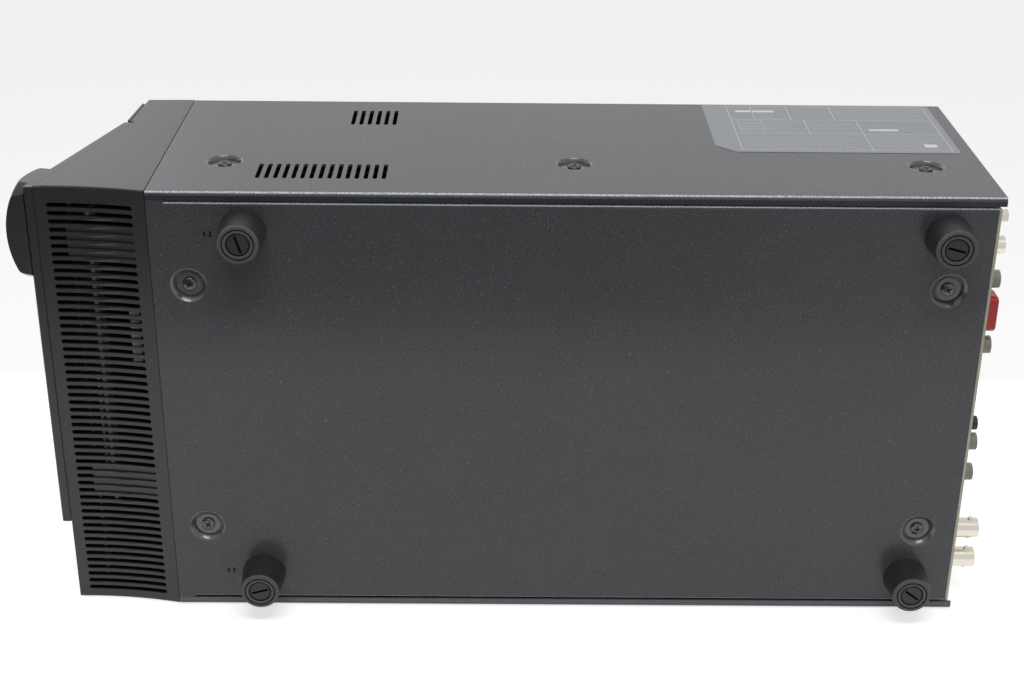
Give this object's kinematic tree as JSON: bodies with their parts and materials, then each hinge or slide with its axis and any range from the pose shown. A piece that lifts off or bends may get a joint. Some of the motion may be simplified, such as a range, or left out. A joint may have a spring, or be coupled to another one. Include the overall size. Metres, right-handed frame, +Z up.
{
  "type": "optical disc recorder",
  "caption": "Upright half-rack disc recorder: folded steel case on rubber feet, sloping moulded front with slotted chin, sliding disc tray, push keys, domed dial and rear sockets.",
  "frame": {"origin": "on the floor plane under the middle of the machine, between the front of the dome and the ends of the video sockets", "axes": "+Z up, -Y out of the front, +X to the right as seen from the front"},
  "size_m": [0.2122, 0.4496, 0.1504],
  "materials": {
    "case_paint": "fine textured charcoal paint",
    "screw_black": "black zinc",
    "ivory_paint": "satin ivory paint",
    "front_plastic": "fine textured",
    "dial_plastic": "satin",
    "key_plastic": "satin",
    "record_key_plastic": "satin",
    "window": "smoked clear",
    "display": "dark glass",
    "board": "solder mask",
    "black_plastic": "moulded",
    "tray_plastic": "fine textured",
    "rubber": "dull",
    "zinc_steel": "zinc plated",
    "aluminium": "plain",
    "nickel": "satin nickel",
    "grey_plastic": "moulded",
    "red_plastic": "moulded",
    "component": "mixed",
    "lens": "coated",
    "film": "blank film"
  },
  "bodies": {
    "recorder": {"top_cover": "case_paint", "bottom_pan": "case_paint", "case_screws": "screw_black", "rear_panel": "ivory_paint", "front_moulding": "front_plastic", "control_panel": "front_plastic", "tray_band": "front_plastic", "dial_boss": "front_plastic", "display_window": "window", "display_module": "display", "control_board": "board", "main_board": "board", "power_board": "board", "key_switches": "black_plastic", "dial_encoder": "black_plastic", "mech_deck": "black_plastic", "tray_rails": "black_plastic", "clamp_bridge": "black_plastic", "remote_jack": "black_plastic", "video_sockets": "black_plastic", "fan_frame": "black_plastic", "ac_inlet": "black_plastic", "foot_pins": "black_plastic", "rubber_feet": "rubber", "front_frame": "zinc_steel", "drive_bracket": "zinc_steel", "drive_tub": "zinc_steel", "drive_lid": "zinc_steel", "guide_rods": "zinc_steel", "small_screws": "zinc_steel", "spindle_motor": "zinc_steel", "board_standoffs": "zinc_steel", "inlet_pins": "zinc_steel", "heatsinks": "aluminium", "bnc_sockets": "nickel", "digital_jack": "nickel", "earth_post": "nickel", "phono_jacks": "grey_plastic", "red_socket_block": "red_plastic", "power_transformer": "component", "power_capacitors": "component", "rating_film": "film"},
    "tray": {"disc_tray": "tray_plastic", "tray_front": "front_plastic"},
    "dial": {"jog_dial": "dial_plastic"},
    "turntable": {"turntable": "aluminium"},
    "clamp": {"disc_clamp": "black_plastic"},
    "pickup": {"pickup_sled": "aluminium", "pickup_lens": "lens"},
    "fan": {"fan_rotor": "black_plastic"},
    "reverse_key": {"key_reverse": "key_plastic"},
    "play_key": {"key_play": "key_plastic"},
    "forward_key": {"key_forward": "key_plastic"},
    "pause_key": {"key_pause": "key_plastic"},
    "stop_key": {"key_stop": "key_plastic"},
    "record_key": {"key_record": "record_key_plastic"},
    "menu_key": {"key_menu": "key_plastic"},
    "back_key": {"key_back": "key_plastic"},
    "power_key": {"key_power": "key_plastic"},
    "open_key": {"key_open": "key_plastic"}
  },
  "joints": [
    {"name": "tray_slide", "type": "slide", "parent": "recorder", "child": "tray", "axis": [0, -1, 0], "range_m": [0, 0.138]},
    {"name": "pickup_slide", "type": "slide", "parent": "recorder", "child": "pickup", "axis": [0, 1, 0], "range_m": [0, 0.033]},
    {"name": "turntable_spin", "type": "hinge", "parent": "recorder", "child": "turntable", "pos_m": [0, -0.11733, 0.1154], "axis": [0, 0, 1], "continuous": true},
    {"name": "clamp_spin", "type": "hinge", "parent": "recorder", "child": "clamp", "pos_m": [0, -0.11733, 0.1354], "axis": [0, 0, 1], "continuous": true},
    {"name": "fan_spin", "type": "hinge", "parent": "recorder", "child": "fan", "pos_m": [0.054, 0.19937, 0.1044], "axis": [0, 1, 0], "continuous": true},
    {"name": "dial_turn", "type": "hinge", "parent": "recorder", "child": "dial", "pos_m": [0.0833, -0.2111, 0.03619], "axis": [0, -0.9626, 0.2709], "continuous": true},
    {"name": "reverse_press", "type": "slide", "parent": "recorder", "child": "reverse_key", "axis": [0, 0.9626, -0.2709], "range_m": [0, 0.001], "stiffness_N_per_m": 400, "springref_m": -0.0005},
    {"name": "play_press", "type": "slide", "parent": "recorder", "child": "play_key", "axis": [0, 0.9626, -0.2709], "range_m": [0, 0.001], "stiffness_N_per_m": 400, "springref_m": -0.0005},
    {"name": "forward_press", "type": "slide", "parent": "recorder", "child": "forward_key", "axis": [0, 0.9626, -0.2709], "range_m": [0, 0.001], "stiffness_N_per_m": 400, "springref_m": -0.0005},
    {"name": "pause_press", "type": "slide", "parent": "recorder", "child": "pause_key", "axis": [0, 0.9626, -0.2709], "range_m": [0, 0.001], "stiffness_N_per_m": 400, "springref_m": -0.0005},
    {"name": "stop_press", "type": "slide", "parent": "recorder", "child": "stop_key", "axis": [0, 0.9626, -0.2709], "range_m": [0, 0.001], "stiffness_N_per_m": 400, "springref_m": -0.0005},
    {"name": "record_press", "type": "slide", "parent": "recorder", "child": "record_key", "axis": [0, 0.9626, -0.2709], "range_m": [0, 0.001], "stiffness_N_per_m": 400, "springref_m": -0.0005},
    {"name": "menu_press", "type": "slide", "parent": "recorder", "child": "menu_key", "axis": [0, 0.9626, -0.2709], "range_m": [0, 0.001], "stiffness_N_per_m": 400, "springref_m": -0.0005},
    {"name": "back_press", "type": "slide", "parent": "recorder", "child": "back_key", "axis": [0, 0.9626, -0.2709], "range_m": [0, 0.001], "stiffness_N_per_m": 400, "springref_m": -0.0005},
    {"name": "power_press", "type": "slide", "parent": "recorder", "child": "power_key", "axis": [0, 0.9626, -0.2709], "range_m": [0, 0.001], "stiffness_N_per_m": 400, "springref_m": -0.0005},
    {"name": "open_press", "type": "slide", "parent": "recorder", "child": "open_key", "axis": [0, 0.9978, -0.0667], "range_m": [0, 0.001], "stiffness_N_per_m": 400, "springref_m": -0.0005}
  ]
}
